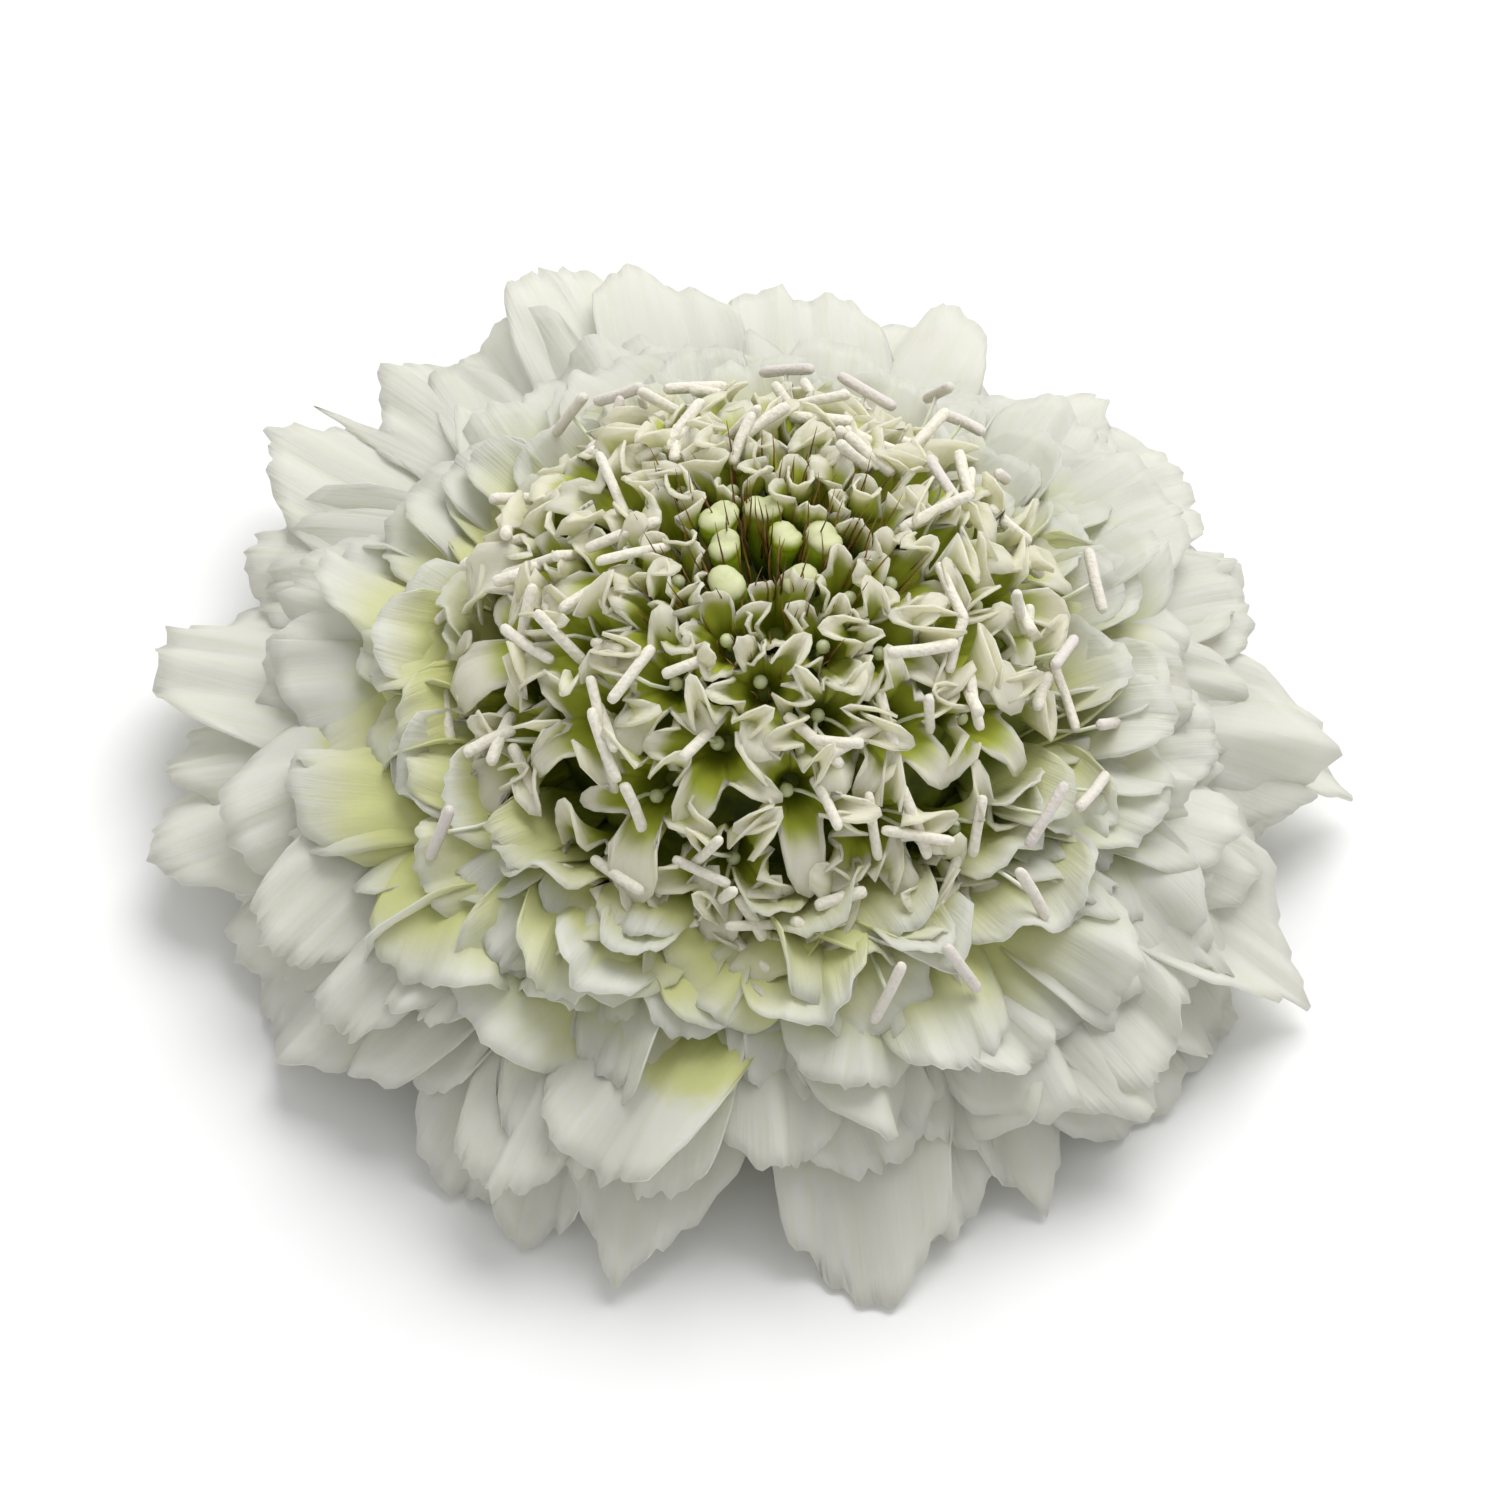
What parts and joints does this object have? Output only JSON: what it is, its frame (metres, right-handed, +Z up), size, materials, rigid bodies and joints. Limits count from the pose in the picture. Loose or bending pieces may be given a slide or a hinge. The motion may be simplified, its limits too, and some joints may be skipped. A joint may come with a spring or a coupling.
{
  "type": "scabiosa flower head",
  "caption": "White double scabiosa flower head, face up: ruffled ray petals in layers round a dome of small disc florets with anthers, green buds in the middle, short cut stalk.",
  "frame": {"origin": "on the surface the head rests on, below the middle of its outline", "axes": "+Z up through the middle of the head, -Y towards the viewer of the picture, +X to the viewer's right"},
  "size_m": [0.061, 0.0599, 0.0258],
  "materials": {
    "petal": "soft matt white petal with a faint green base",
    "disc": "matt cream floret with a yellow-green throat",
    "bud": "satin green bud with a pale cap",
    "leaf": "matt green, finely hairy"
  },
  "bodies": {
    "root": {"ray_florets": "petal", "disc_florets": "disc", "centre_buds": "bud", "stalk_and_bracts": "leaf"}
  },
  "joints": []
}
